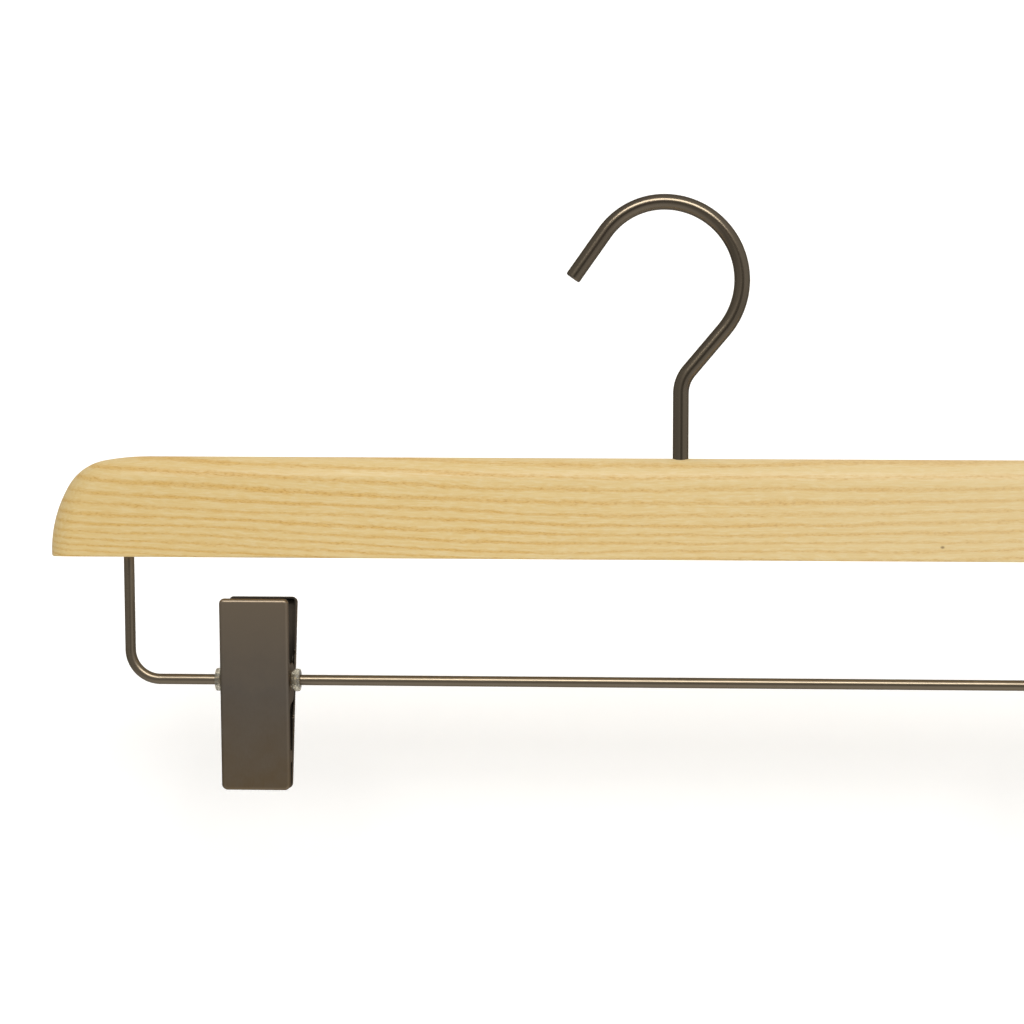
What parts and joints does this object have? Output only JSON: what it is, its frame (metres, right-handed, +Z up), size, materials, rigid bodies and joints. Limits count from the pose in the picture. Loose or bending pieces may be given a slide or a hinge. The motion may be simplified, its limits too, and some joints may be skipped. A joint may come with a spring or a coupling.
{
  "type": "trouser hanger",
  "caption": "Wooden bar hanger on a swivelling wire hook, with a wire rail below the bar that carries sliding, swinging spring clips for trousers.",
  "frame": {"origin": "the point inside the crook that bears on a wardrobe rail, straight above the swivel axis", "axes": "+X along the bar, -Y to the front as seen in the picture, +Z up, away from the bar"},
  "size_m": [0.36, 0.021, 0.1704],
  "materials": {
    "ash_wood": "pale straight-grained wood under a thin satin lacquer",
    "dark_bronze_wire": "dark bronze plating, satin",
    "bronze_wire": "bronze plating, satin",
    "bronze_sheet": "bronze plating on pressed sheet, satin",
    "plain_steel": "bright zinc",
    "spring_steel": "drawn spring wire",
    "clear_plastic": "clear, a little cloudy",
    "black_rubber": "matt"
  },
  "bodies": {
    "hook": {"hook_wire": "dark_bronze_wire", "hook_washer": "plain_steel"},
    "bar": {"wood_bar": "ash_wood", "hook_bush": "plain_steel", "clip_rail": "bronze_wire", "rail_brads": "plain_steel"},
    "left_bushes": {"left_outer_bush": "clear_plastic", "left_inner_bush": "clear_plastic"},
    "left_front": {"left_front_jaw": "bronze_sheet", "left_front_pad": "black_rubber", "left_spring": "spring_steel"},
    "left_rear": {"left_rear_jaw": "bronze_sheet", "left_rear_pad": "black_rubber"},
    "right_bushes": {"right_outer_bush": "clear_plastic", "right_inner_bush": "clear_plastic"},
    "right_front": {"right_front_jaw": "bronze_sheet", "right_front_pad": "black_rubber", "right_spring": "spring_steel"},
    "right_rear": {"right_rear_jaw": "bronze_sheet", "right_rear_pad": "black_rubber"}
  },
  "joints": [
    {"name": "hook_swivel", "type": "hinge", "parent": "hook", "child": "bar", "pos_m": [0, 0, -0.08407], "axis": [0, 0, 1], "continuous": true},
    {"name": "left_clip_slide", "type": "slide", "parent": "bar", "child": "left_bushes", "axis": [1, 0, 0], "range_m": [-0.015, 0.106]},
    {"name": "left_clip_swing", "type": "hinge", "parent": "left_bushes", "child": "left_front", "pos_m": [-0.1204, 0, -0.13406], "axis": [1, 0, 0], "continuous": true},
    {"name": "left_clip_open", "type": "hinge", "parent": "left_front", "child": "left_rear", "pos_m": [-0.1204, 0, -0.13406], "axis": [1, 0, 0], "range_deg": [0, 30], "stiffness_Nm_per_rad": 0.2, "springref_deg": -45.84, "deforming": ["left_spring"]},
    {"name": "right_clip_slide", "type": "slide", "parent": "bar", "child": "right_bushes", "axis": [1, 0, 0], "range_m": [-0.106, 0.015]},
    {"name": "right_clip_swing", "type": "hinge", "parent": "right_bushes", "child": "right_front", "pos_m": [0.1204, 0, -0.13406], "axis": [1, 0, 0], "continuous": true},
    {"name": "right_clip_open", "type": "hinge", "parent": "right_front", "child": "right_rear", "pos_m": [0.1204, 0, -0.13406], "axis": [1, 0, 0], "range_deg": [0, 30], "stiffness_Nm_per_rad": 0.2, "springref_deg": -45.84, "deforming": ["right_spring"]}
  ]
}
